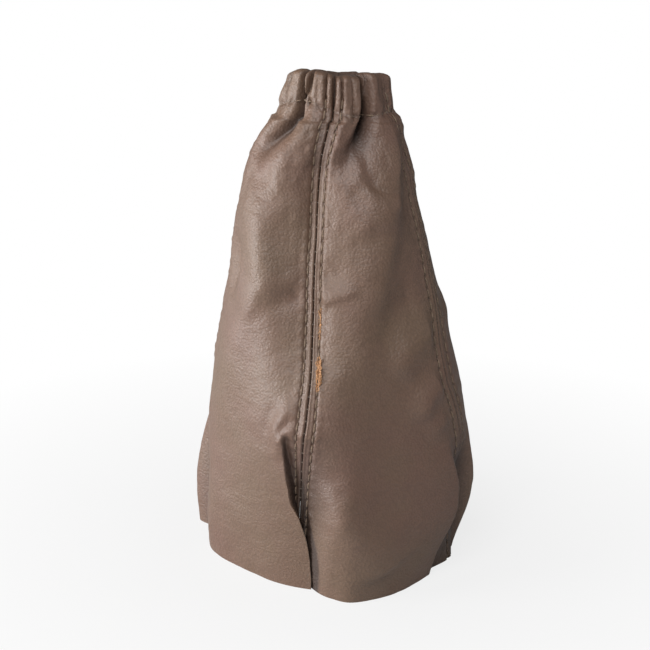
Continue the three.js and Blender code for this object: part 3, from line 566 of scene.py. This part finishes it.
# panels
# painted shade, laid into the leather's colour: dark in the gather valleys, the tucks, the seams and stitch
# lines, and inside the turned hem
shadePaint = {
    "fullDepth": 6.0,             # a valley this deep between the gathers is painted fully dark, as shade
    "fromHeight": (178, 196),
    "tuckDepth": 8.0,             # and so is the floor of a tuck this deep
    "tuckFloor": 0.9,
    "floorEdge": 0.8,
    "wallDepth": 2.5,
    "steep": 6,                   # slopes shorter than this get painted shade as well
    "row": 0.3,
    "rowWidth": 0.8,
    "hemWidth": 1.3,
    "seamWidth": 0.4,
    # painted shade inside the turned hem, growing from its top inwards
    "inside": 0.8,
    "insideFrom": (0.1, 0.35),
    # painted shade, nearly black, beside the deep fold at the front seam: its limits to the left and right,
    # by height
    "pocketSeam": 1,
    "pocketFade": 1.6,
    "pocketWall": (0.75, 0.35),
    "pocketFrom": [(0, 1.2), (44, 1.2), (54, 12), (300, 12)],
    "pocketTo": [(0, 12.5), (12, 13), (21, 12), (30, 9), (37, 6.5), (44, 4.5), (54, 2.5), (70, 0),
                 (300, 0)],
}
panelMesh = {
    # mm from a seam at which the columns beside it stand
    "edgeDistances": [0, 0.1, 0.22, 0.5, 0.75, 1.05, 1.4, 1.8, 2.2, 2.55, 2.85, 3.12, 3.4, 3.65, 3.9, 4.15,
                      4.45, 4.8, 5.2, 5.7, 6.3, 7.0],
    "middleColumns": 84,
    "edgeCrowding": 0.55,      # how much closer the middle columns stand near the seams
    "neckStart": 195.0,
    "rowsToNeck": 186,
    "rowsInNeck": 50,
    "sharpAngle": 60,
}


def seamGap(seam, z):        # half the gap between two panels
    if seam != seamFinish["openSeam"]:
        return seamFinish["gap"] + 0 * z
    opened = ease(*seamFinish["openFrom"], z) * (1 - ease(*seamFinish["openTo"], z))
    return seamFinish["gap"] + seamFinish["pulledOpen"] * opened


def columnShare(panel, column, count, z):
    edges = panelMesh["edgeDistances"]
    width = panelWidth(z)
    if column < len(edges):
        return (edges[column] + seamGap(panel, z) * (1 - edges[column] / edges[-1])) / width
    column = count - 1 - column
    if column < len(edges):
        return 1 - (edges[column] + seamGap((panel + 1) % 4, z) * (1 - edges[column] / edges[-1])) / width
    inner = edges[-1] / width
    t = 1 - (column - len(edges) + 1) / (panelMesh["middleColumns"] + 1)
    t -= panelMesh["edgeCrowding"] * math.sin(2 * math.pi * t) / (2 * math.pi)
    return inner + (1 - 2 * inner) * t


def tuckShade(seam, isBefore, distance, z):        # painted shade in the tuck at a seam, on one side of it
    level = levelOf(z)
    tuck = tucks[seam]
    depth = np.maximum(along(tuck["depth"], level), 0)
    flat = along(tuck["flat" if isBefore else "flatAfter"], level)
    slope = along(tuck["before" if isBefore else "after"], level)
    wall = np.clip((distance - flat) / slope, 0, 1)
    shade = ease(flat + shadePaint["floorEdge"] * slope, flat - 0.5, distance) * shadePaint["tuckFloor"]
    shade = shade * np.minimum(depth / shadePaint["tuckDepth"], 1)
    steepWall = 4 * wall * (1 - wall) * (slope < shadePaint["steep"])
    shade = shade + steepWall * np.minimum(depth / shadePaint["wallDepth"], 1)
    if seam != shadePaint["pocketSeam"]:
        return shade
    if isBefore:
        start = along(shadePaint["pocketFrom"], z)
        core = ease(start, start + shadePaint["pocketFade"], distance)
        wallTop, wallMiddle = shadePaint["pocketWall"]
        core = core * ease(flat + wallTop * slope, flat + wallMiddle * slope, distance)
    else:
        end = along(shadePaint["pocketTo"], z)
        core = ease(end, end - shadePaint["pocketFade"], distance)
    return np.maximum(shade, core)


def paintedShadeAt(panel, share, z):        # painted shade at each point, by how deep it lies in a seam, a stitch line or a fold, 0 to 1
    width = panelWidth(z)
    azimuth, radius = surfaceAt(panel, share, z, False)
    paintedShade = -pleatOffset(azimuth, radius, z) - gatherOffset(azimuth, z)
    paintedShade = np.clip(paintedShade, 0, shadePaint["fullDepth"]) / shadePaint["fullDepth"] * ease(*shadePaint["fromHeight"], z)
    for seam, isBefore, distance, row in ((panel, False, share * width, "rowRight"),
                                          ((panel + 1) % 4, True, (1 - share) * width, "rowLeft")):
        rowShade = np.exp(-((distance - seamFinish[row]) / shadePaint["rowWidth"]) ** 2) * shadePaint["row"]
        seamShade = np.exp(-(distance / shadePaint["seamWidth"]) ** 2)
        for shade in (tuckShade(seam, isBefore, distance, z), rowShade, seamShade):
            paintedShade = np.maximum(paintedShade, shade)
    line = shadePaint["row"] * np.exp(-((z - stitchLine(azimuth)) / shadePaint["hemWidth"]) ** 2)
    return np.clip(np.maximum(paintedShade, line), 0, 1)


def panelPoints(panel):
    turnTop = body["height"] - hemFinish["turnHeight"]
    neckStart = panelMesh["neckStart"]
    heights = np.concatenate([np.linspace(0, neckStart, panelMesh["rowsToNeck"], endpoint=False),
                              np.linspace(neckStart, turnTop, panelMesh["rowsInNeck"])])
    count = 2 * len(panelMesh["edgeDistances"]) + panelMesh["middleColumns"]
    share = np.stack([columnShare(panel, column, count, heights) for column in range(count)], 1)
    z = np.repeat(heights[:, None], count, 1)
    points = [surface(panel, share, z)]
    paintedShade = paintedShadeAt(panel, share, z)
    azimuth, radius = surfaceAt(panel, share[-1], z[-1])
    wave = gatherOffset(azimuth, z[-1]) - hemFinish["flapLevel"]
    inside = hemFinish["flapRadius"] + hemFinish["flapWave"] * wave
    half = (radius - inside) / 2
    for step in range(1, hemFinish["turnSteps"] + 1):
        angle = math.pi * step / hemFinish["turnSteps"]
        r = radius - half + half * math.cos(angle)
        height = turnTop + hemFinish["turnHeight"] * math.sin(angle)
        points.append(place(azimuth, r, np.full(count, height), neckLean)[None])
    for step in range(1, hemFinish["flapSteps"] + 1):
        height = turnTop + (hemFinish["flapEnd"] - turnTop) * step / hemFinish["flapSteps"]
        points.append(place(azimuth, inside, np.full(count, height), neckLean)[None])
    # painted shade on the turned hem, darker further inside
    turned = np.linspace(0, 1, hemFinish["turnSteps"] + hemFinish["flapSteps"])[:, None]
    shade = np.maximum(paintedShade[-1:], shadePaint["inside"] * ease(*shadePaint["insideFrom"], turned))
    return np.concatenate(points), np.concatenate([paintedShade, shade])


def makePanel(panel):
    points, paintedShade = panelPoints(panel)
    rows, columns = points.shape[:2]
    bpy.ops.object.select_all(action="DESELECT")
    bpy.ops.mesh.primitive_grid_add(x_subdivisions=columns - 1, y_subdivisions=rows - 1, size=1)
    piece = bpy.context.object
    piece.name = f"leather_panel_{panelNames[panel]}"
    piece.data.vertices.foreach_set("co", inFrame(points).astype(np.float32).ravel())
    piece.data.update()
    # painted shade, kept on the mesh for the leather's colour
    shade = piece.data.attributes.new("paintedShade", "FLOAT", "POINT")
    shade.data.foreach_set("value", paintedShade.astype(np.float32).ravel())
    for slot in (leather, backing, cutEdge):
        piece.data.materials.append(slot)
    solid = piece.modifiers.new("wall", "SOLIDIFY")
    solid.thickness = body["wall"] * mm
    solid.offset = -1
    solid.material_offset = 1
    solid.material_offset_rim = 2
    bpy.ops.object.modifier_apply(modifier="wall")
    bpy.ops.object.shade_smooth_by_angle(angle=math.radians(panelMesh["sharpAngle"]))
    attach(piece, "root")
    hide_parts(f"panel_{panelNames[panel]}")
    return piece


# threads: length of a stitch, its radius, and how far it stands off the leather
stitching = {
    "top": (4.3, 0.36, 0.12),
    "bar": (1.7, 0.24, 0.1),
    "hem": (3.7, 0.36, 0.35),
    "facets": 8,
    "plump": 0.8,        # lower gives blunter ends
    "endDip": 0.45,      # how far the ends bend down
    "lastGap": 0.4,      # share of a stitch kept free at the top of a row
}


def makeStitch(kind, material):        # one stitch: a plump bead, its ends bent down into the leather
    length, radius, _ = stitching[kind]
    facets = stitching["facets"]
    bpy.ops.object.select_all(action="DESELECT")
    bpy.ops.mesh.primitive_uv_sphere_add(segments=facets, ring_count=facets, radius=radius * mm,
                                         rotation=(0, math.pi / 2, 0))
    stitch = bpy.context.object
    stitch.name = f"{kind}Stitch"
    bpy.ops.object.transform_apply(location=True, rotation=True, scale=True)
    for vertex in stitch.data.vertices:
        share = vertex.co.x / (radius * mm)
        vertex.co.x = math.copysign(abs(share) ** stitching["plump"], share) * length / 2 * mm
        vertex.co.z -= stitching["endDip"] * share ** 4 * mm
    bpy.ops.object.shade_smooth()
    stitch.data.materials.append(material)
    return stitch


# lays a copy of the stitch at each (place, along, out)
def layStitches(name, stitch, frames, replaced):
    copies = []
    for point, forward, out in frames:
        side = np.cross(out, forward)
        side /= np.linalg.norm(side)
        up = np.cross(forward, side)
        matrix = Matrix((forward, side, up)).transposed().to_4x4()
        matrix.translation = Vector(inFrame(point))
        copy = stitch.copy()
        copy.data = stitch.data.copy()
        copy.data.transform(matrix)
        bpy.context.scene.collection.objects.link(copy)
        copies.append(copy)
    bpy.ops.object.select_all(action="DESELECT")
    for copy in copies:
        copy.select_set(True)
    bpy.context.view_layer.objects.active = copies[0]
    bpy.ops.object.join()
    row = bpy.context.object
    row.name = name
    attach(row, "root")
    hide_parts(replaced)


def topstitchFrames(seam, side):
    heights, counts = rowPhases[(seam, side)]
    whole = int(counts[-1] - stitching["lastGap"])
    z = np.interp(np.arange(whole) + 0.5, counts, heights)
    panel, share = rowShare(seam, side, z)
    out = outward(panel, share, z)
    above, below = rowShare(seam, side, z + 1)[1], rowShare(seam, side, z - 1)[1]
    forward = surface(panel, above, z + 1, False) - surface(panel, below, z - 1, False)
    forward /= np.linalg.norm(forward, axis=-1, keepdims=True)
    point = surface(panel, share, z) + out * stitching["top"][2]
    return list(zip(point, forward, out))


def makeTopstitching():
    stitch = makeStitch("top", topThread)
    for seam, name in enumerate(seamNames):
        for side in ("left", "right"):
            layStitches(f"{name}_topstitch_{side}", stitch, topstitchFrames(seam, side),
                        f"{name}_seam_topstitch_{side}")
    bpy.data.objects.remove(stitch)


def makeJoiningThreads():
    stitch = makeStitch("bar", seamThread)
    for seam, name in enumerate(seamNames):
        heights, counts = rowPhases[(seam, "right")]
        z = np.interp(np.arange(1, int(counts[-1])), counts, heights)
        share = 0 * z
        out = outward(seam, share, z)
        up = surface(seam, share, z + 1, False) - surface(seam, share, z - 1, False)
        across = np.cross(up, out)
        across /= np.linalg.norm(across, axis=-1, keepdims=True)
        point = surface(seam, share, z, False) + out * stitching["bar"][2]
        layStitches(f"{name}_joining_thread", stitch, list(zip(point, across, out)),
                    f"{name}_seam_joining_thread")
    bpy.data.objects.remove(stitch)


def makeHemStitching():
    stitch = makeStitch("hem", topThread)
    panelOf, shareOf, heightOf, _, line = hemPath()
    counts = hemPhase[1]
    frames = []
    for k in range(int(counts[-1])):
        i = int(np.searchsorted(counts, k + 0.5))
        forward = line[(i + 3) % len(line)] - line[i - 3]
        forward /= np.linalg.norm(forward)
        out = outward(panelOf[i], shareOf[i:i + 1], heightOf[i:i + 1])[0]
        out -= forward * out.dot(forward)
        out /= np.linalg.norm(out)
        frames.append((line[i] + out * stitching["hem"][2], forward, out))
    layStitches("hem_stitching", stitch, frames, "neck_hem_stitching")
    bpy.data.objects.remove(stitch)


# loose orange thread on the front right seam, pulled out of the topstitching in squiggles
frayed = {
    "radius": 0.15,
    "points": 64,
    "seam": 1,
    "narrow": 0.15,               # share of its length over which each end dies away
    "lying": 0.12,                # its middle lies this far off the leather
    "kinks": (0.35, 2.7, 1),      # a second, quicker swing: share, turns to each turn, start
    "loops": (0.9, 1.6, 0.5),     # and the same up and down
    "hops": (0.4, 1.9),           # uneven lift: share, turns to each turn
    # from this height down to that one, mm from the seam at either, swing, turns, start of the swing, lift
    "strands": [
        (129.5, 117, 3.8, 4.4, 0.4, 3.3, 0.0, 0.25),
        (128, 114.5, 4.6, 4.2, 0.55, 3.6, 2.0, 0.3),
        (124, 116, 4.1, 4.7, 0.5, 2.6, 4.1, 0.25),
        (129, 122, 4.7, 4.0, 0.45, 2.2, 1.1, 0.2),
        (127, 119, 4.0, 5.0, 0.6, 2.4, 5.0, 0.3),
        (104, 95.4, 4.7, 4.2, 0.9, 3.6, 3.4, 0.6),
        (109.6, 96.4, 4.4, 4.6, 1.1, 5.3, 0.3, 0.5),
        (109.0, 97.2, 5.1, 4.5, 1.0, 4.4, 2.6, 0.8),
        (107.8, 98.6, 4.3, 4.8, 1.3, 5.8, 4.2, 1.0),
        (107.2, 95.6, 5.2, 4.4, 0.7, 3.2, 1.1, 0.6),
        (108.4, 100.0, 4.9, 5.1, 1.2, 3.9, 5.4, 1.1),
    ],
}


def squiggle(strand):        # mm from the seam, height and lift off the leather, along one strand
    top, bottom, near, far, swing, turns, start, lift = strand
    t = np.linspace(0, 1, frayed["points"])
    angle = start + 2 * math.pi * turns * t
    narrow = ease(0, frayed["narrow"], t) * ease(0, frayed["narrow"], 1 - t)
    kink, kinkTurns, kinkStart = frayed["kinks"]
    loop, loopTurns, loopStart = frayed["loops"]
    hop, hopTurns = frayed["hops"]
    sideways = np.sin(angle) + kink * np.sin(kinkTurns * angle + kinkStart)
    distance = near + (far - near) * t + swing * narrow * sideways
    z = top + (bottom - top) * t + loop * swing * narrow * np.cos(loopTurns * angle + loopStart)
    return distance, z, frayed["lying"] + lift * narrow * (1 - hop + hop * np.sin(hopTurns * angle))


def makeFrayedThread():
    curve = bpy.data.curves.new("frayedThread", "CURVE")
    curve.dimensions = "3D"
    curve.bevel_depth = frayed["radius"] * mm
    curve.bevel_resolution = 2
    curve.use_fill_caps = True
    curve.resolution_u = 3
    for strand in frayed["strands"]:
        distance, z, lift = squiggle(strand)
        share = distance / panelWidth(z)
        out = outward(frayed["seam"], share, z)
        points = surface(frayed["seam"], share, z) + out * lift[:, None]
        spline = curve.splines.new("NURBS")
        spline.points.add(len(points) - 1)
        spline.use_endpoint_u = True
        spline.order_u = 3
        for control, at in zip(spline.points, inFrame(points)):
            control.co = (*at, 1)
    piece = bpy.data.objects.new("frayed_orange_thread", curve)
    bpy.context.scene.collection.objects.link(piece)
    selectOnly(piece)
    bpy.ops.object.convert(target="MESH")
    piece = bpy.context.object
    piece.data.materials.append(looseThread)
    bpy.ops.object.shade_smooth()
    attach(piece, "root")
    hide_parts("frayed_thread")


# materials
def newMaterial(name):
    material = bpy.data.materials.new(name)
    material.use_nodes = True
    tree = material.node_tree
    return material, tree, tree.nodes["Principled BSDF"]


def node(tree, kind, **settings):
    made = tree.nodes.new(kind)
    for key, value in settings.items():
        if key in made.inputs:
            made.inputs[key].default_value = value
        else:
            setattr(made, key, value)
    return made


def ramp(tree, source, stops):
    made = node(tree, "ShaderNodeValToRGB")
    made.color_ramp.elements[0].position, made.color_ramp.elements[0].color = stops[0]
    made.color_ramp.elements[1].position, made.color_ramp.elements[1].color = stops[1]
    for position, colour in stops[2:]:
        made.color_ramp.elements.new(position).color = colour
    tree.links.new(source, made.inputs["Fac"])
    return made.outputs["Color"]


def mixColours(tree, factor, a, b, blend="MIX"):
    made = node(tree, "ShaderNodeMix", data_type="RGBA", blend_type=blend)
    for value, socket in ((factor, made.inputs[0]), (a, made.inputs[6]), (b, made.inputs[7])):
        if isinstance(value, bpy.types.NodeSocket):
            tree.links.new(value, socket)
        else:
            socket.default_value = value
    return made.outputs[2]


def objectTexture(tree, kind, **settings):        # a texture that reads the piece's own coordinates
    made = node(tree, kind, **settings)
    tree.links.new(node(tree, "ShaderNodeTexCoord").outputs["Object"], made.inputs["Vector"])
    return made


def addBump(tree, height, depth, strength=1.0):
    made = node(tree, "ShaderNodeBump", Strength=strength, Distance=depth * mm)
    tree.links.new(height, made.inputs["Height"])
    return made


leatherFinish = {
    "colour": (0.180, 0.103, 0.066, 1),
    "red": (0.182, 0.098, 0.066, 1),
    "green": (0.177, 0.106, 0.065, 1),
    "cloudScale": 22.0,
    # colour of the painted shade in the seams, tucks and gathers, and how much of it is laid on
    "shadePaint": (0.030, 0.016, 0.012, 1),
    "shadePaintShare": 0.85,
    "grainSize": 1.1,         # mm across a pebble
    "grainDepth": 0.13,
    "grainShade": 0.14,       # how much darker the grain's creases are
    "fineShare": 0.25,
    "fineScale": 1500.0,
    "warp": 0.0005,
    "warpScale": 700.0,
    "creaseDepth": 0.14,      # fine creases that run round the body
    "creaseScale": 110.0,
    "creaseStretch": 4.5,
    "wearScale": 60.0,
    "roughness": (0.48, 0.60),
    "specular": 0.9,
}


def makeLeather():
    finish = leatherFinish
    material, tree, shader = newMaterial("pebbledLeatherette")
    link = tree.links.new
    place = node(tree, "ShaderNodeTexCoord").outputs["Object"]
    cloud = objectTexture(tree, "ShaderNodeTexNoise", Scale=finish["cloudScale"], Detail=3.0, Roughness=0.6)
    tint = ramp(tree, cloud.outputs["Fac"], [(0.35, finish["red"]), (0.65, finish["green"]),
                                             (0.5, finish["colour"])])
    # pebbles, their outlines pushed about by a fine noise
    warp = objectTexture(tree, "ShaderNodeTexNoise", Scale=finish["warpScale"], Detail=1.0)
    warped = node(tree, "ShaderNodeVectorMath", operation="MULTIPLY_ADD")
    link(warp.outputs["Color"], warped.inputs[0])
    warped.inputs[1].default_value = (finish["warp"],) * 3
    link(place, warped.inputs[2])
    pebble = node(tree, "ShaderNodeTexVoronoi", feature="SMOOTH_F1", Scale=1000 / finish["grainSize"])
    pebble.inputs["Smoothness"].default_value = 0.25
    link(warped.outputs[0], pebble.inputs["Vector"])
    between = ramp(tree, pebble.outputs["Distance"], [(0.25, (1, 1, 1, 1)), (0.75, (0, 0, 0, 1))])
    fine = objectTexture(tree, "ShaderNodeTexNoise", Scale=finish["fineScale"], Detail=2.0)
    grain = mixColours(tree, finish["fineShare"], between, fine.outputs["Fac"])
    stretch = node(tree, "ShaderNodeMapping")
    stretch.inputs["Scale"].default_value = (1, 1, finish["creaseStretch"])
    link(place, stretch.inputs["Vector"])
    creases = node(tree, "ShaderNodeTexNoise", Scale=finish["creaseScale"], Detail=3.0, Roughness=0.6)
    link(stretch.outputs["Vector"], creases.inputs["Vector"])
    creaseBump = addBump(tree, creases.outputs["Fac"], finish["creaseDepth"])
    bump = addBump(tree, grain, finish["grainDepth"])
    link(creaseBump.outputs["Normal"], bump.inputs["Normal"])
    link(bump.outputs["Normal"], shader.inputs["Normal"])
    # painted shade in the hollows: seams, tucks, stitch lines, gather valleys and inside the hem
    shade = mixColours(tree, finish["grainShade"], tint, between, "MULTIPLY")
    paintedShade = node(tree, "ShaderNodeAttribute", attribute_name="paintedShade")
    shadeAmount = node(tree, "ShaderNodeMath", operation="MULTIPLY")
    shadeAmount.inputs[1].default_value = finish["shadePaintShare"]
    link(paintedShade.outputs["Fac"], shadeAmount.inputs[0])
    link(mixColours(tree, shadeAmount.outputs[0], shade, finish["shadePaint"]), shader.inputs["Base Color"])
    wear = objectTexture(tree, "ShaderNodeTexNoise", Scale=finish["wearScale"], Detail=4.0, Roughness=0.65)
    gloss = node(tree, "ShaderNodeMapRange")
    gloss.inputs["To Min"].default_value, gloss.inputs["To Max"].default_value = finish["roughness"]
    link(wear.outputs["Fac"], gloss.inputs["Value"])
    link(gloss.outputs["Result"], shader.inputs["Roughness"])
    shader.inputs["Specular IOR Level"].default_value = finish["specular"]
    return material


# one texture gives both the colour, from dark to light, and the relief, in mm
def makeFinish(name, texture, output, stops, roughness, relief=None, sheen=0.0):
    material, tree, shader = newMaterial(name)
    kind, settings = texture
    pattern = objectTexture(tree, kind, **settings).outputs[output]
    tree.links.new(ramp(tree, pattern, stops), shader.inputs["Base Color"])
    if relief:
        depth, strength = relief
        bump = addBump(tree, pattern, depth, strength)
        tree.links.new(bump.outputs["Normal"], shader.inputs["Normal"])
    shader.inputs["Roughness"].default_value = roughness
    shader.inputs["Sheen Weight"].default_value = sheen
    return material


def makeThread(name, dark, light):        # twisted thread
    return makeFinish(name, ("ShaderNodeTexNoise", {"Scale": 1800.0, "Detail": 2.0}), "Fac",
                      [(0.3, dark), (0.7, light)], 0.75, relief=(0.1, 0.7), sheen=0.2)


leather = makeLeather()
backing = makeFinish("knitBacking", ("ShaderNodeTexVoronoi", {"Scale": 1400.0}), "Distance",
                     [(0.1, (0.20, 0.185, 0.17, 1)), (0.7, (0.10, 0.092, 0.085, 1))], 0.92,
                     relief=(0.2, 0.8), sheen=0.25)
cutEdge = makeFinish("cutEdge", ("ShaderNodeTexNoise", {"Scale": 900.0, "Detail": 3.0}), "Fac",
                     [(0.35, (0.10, 0.075, 0.06, 1)), (0.7, (0.26, 0.21, 0.17, 1))], 0.9)
ribbing = ("ShaderNodeTexWave", {"Scale": 180.0, "bands_direction": "Z"})
ribbedTape = makeFinish("wovenElastic", ribbing, "Fac",
                        [(0.2, (0.008, 0.008, 0.008, 1)), (0.8, (0.03, 0.028, 0.027, 1))], 0.85,
                        relief=(0.3, 0.8))
topThread = makeThread("topstitchThread", (0.13, 0.088, 0.060, 1), (0.30, 0.208, 0.140, 1))
seamThread = makeThread("joiningThread", (0.10, 0.072, 0.055, 1), (0.20, 0.15, 0.12, 1))
looseThread = makeThread("frayedThread", (0.36, 0.16, 0.060, 1), (0.66, 0.37, 0.18, 1))
print("materials made")

for panel in range(4):
    makePanel(panel)
print("panels shaped")
makeTopstitching()
makeJoiningThreads()
makeHemStitching()
makeFrayedThread()
print("threads sewn")

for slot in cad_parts["neck_elastic"].material_slots:
    slot.material = ribbedTape


# stage
stage = {
    "azimuth": 58.0,        # where the camera stands
    "distance": 0.610,
    "height": 0.300,
    "aimRight": -0.0054,
    "aimUp": 0.109,
    "sensor": 36.0,
    "focalPixels": 1420.0,
    "framePixels": 650.0,
    "floorColour": (0.7, 0.7, 0.7, 1),
    "floorWhite": 0.8,      # white that the camera sees on top of the shadow, near the piece
    "floorFade": (0.07, 0.30),      # metres from the middle, from there on all white
    "floorSize": 6,
    "worldStrength": 0.12,
    "lampAim": 0.1,
    # name, azimuth from the camera, elevation, distance, size, watts
    "lamps": [("key", -74, 7, 1.1, 0.5, 10.3), ("side", -112, 4, 1.1, 0.7, 3.6),
              ("top", -16, 46, 1.2, 0.6, 8), ("right", 84, 24, 1.1, 0.4, 0.7)],
}


def makeCamera():
    azimuth = math.radians(stage["azimuth"])
    toCamera = Vector((math.sin(azimuth), -math.cos(azimuth), 0))
    right = Vector((math.cos(azimuth), math.sin(azimuth), 0))
    shift = Vector(axisShift * mm)
    camera = bpy.data.objects.new("camera", bpy.data.cameras.new("camera"))
    bpy.context.scene.collection.objects.link(camera)
    camera.location = shift + toCamera * stage["distance"] + Vector((0, 0, stage["height"]))
    target = shift + right * stage["aimRight"] + Vector((0, 0, stage["aimUp"]))
    camera.rotation_euler = (target - camera.location).to_track_quat("-Z", "Y").to_euler()
    camera.data.sensor_width = stage["sensor"]
    camera.data.lens = stage["sensor"] * stage["focalPixels"] / stage["framePixels"]
    camera.data.clip_start = 0.01
    bpy.context.scene.camera = camera


def makeLamps():
    for name, turn, elevation, distance, size, watts in stage["lamps"]:
        azimuth, up = math.radians(stage["azimuth"] + turn), math.radians(elevation)
        data = bpy.data.lights.new(name, "AREA")
        data.size = size
        data.energy = watts
        lamp = bpy.data.objects.new(name, data)
        bpy.context.scene.collection.objects.link(lamp)
        aim = Vector((0, 0, stage["lampAim"]))
        towards = Vector((math.sin(azimuth) * math.cos(up), -math.cos(azimuth) * math.cos(up), math.sin(up)))
        lamp.location = aim + towards * distance
        lamp.rotation_euler = (aim - lamp.location).to_track_quat("-Z", "Y").to_euler()


def blendShaders(tree, factor, first, second, output):
    blend = node(tree, "ShaderNodeMixShader")
    tree.links.new(factor, blend.inputs[0])
    tree.links.new(first.outputs[0], blend.inputs[1])
    tree.links.new(second.outputs[0], blend.inputs[2])
    tree.links.new(blend.outputs[0], output.inputs["Surface"])


def makeFloor():        # pale floor that keeps the shadow and turns white further out
    bpy.ops.object.select_all(action="DESELECT")
    bpy.ops.mesh.primitive_plane_add(size=stage["floorSize"], location=(0, 0, 0))
    floor = bpy.context.object
    floor.name = "floor"
    material, tree, shader = newMaterial("floorPaint")
    shader.inputs["Base Color"].default_value = stage["floorColour"]
    shader.inputs["Roughness"].default_value = 0.9
    white = node(tree, "ShaderNodeEmission", Strength=1.0)
    distance = node(tree, "ShaderNodeVectorMath", operation="LENGTH")
    tree.links.new(node(tree, "ShaderNodeTexCoord").outputs["Object"], distance.inputs[0])
    far = node(tree, "ShaderNodeMapRange")
    far.inputs["From Min"].default_value, far.inputs["From Max"].default_value = stage["floorFade"]
    far.inputs["To Min"].default_value = stage["floorWhite"]
    tree.links.new(distance.outputs["Value"], far.inputs["Value"])
    seen = node(tree, "ShaderNodeMath", operation="MULTIPLY")
    tree.links.new(node(tree, "ShaderNodeLightPath").outputs["Is Camera Ray"], seen.inputs[0])
    tree.links.new(far.outputs["Result"], seen.inputs[1])
    blendShaders(tree, seen.outputs[0], shader, white, tree.nodes["Material Output"])
    floor.data.materials.append(material)


def makeWorld():
    world = bpy.data.worlds.new("studio")
    bpy.context.scene.world = world
    world.use_nodes = True
    tree = world.node_tree
    soft = tree.nodes["Background"]
    soft.inputs["Color"].default_value = (1, 1, 1, 1)
    soft.inputs["Strength"].default_value = stage["worldStrength"]
    white = node(tree, "ShaderNodeBackground", Strength=1.0)
    white.inputs["Color"].default_value = (1, 1, 1, 1)
    rays = node(tree, "ShaderNodeLightPath")
    blendShaders(tree, rays.outputs["Is Camera Ray"], soft, white, tree.nodes["World Output"])


makeCamera()
makeLamps()
makeFloor()
makeWorld()
bpy.context.scene.view_settings.view_transform = "Standard"
print("stage set")
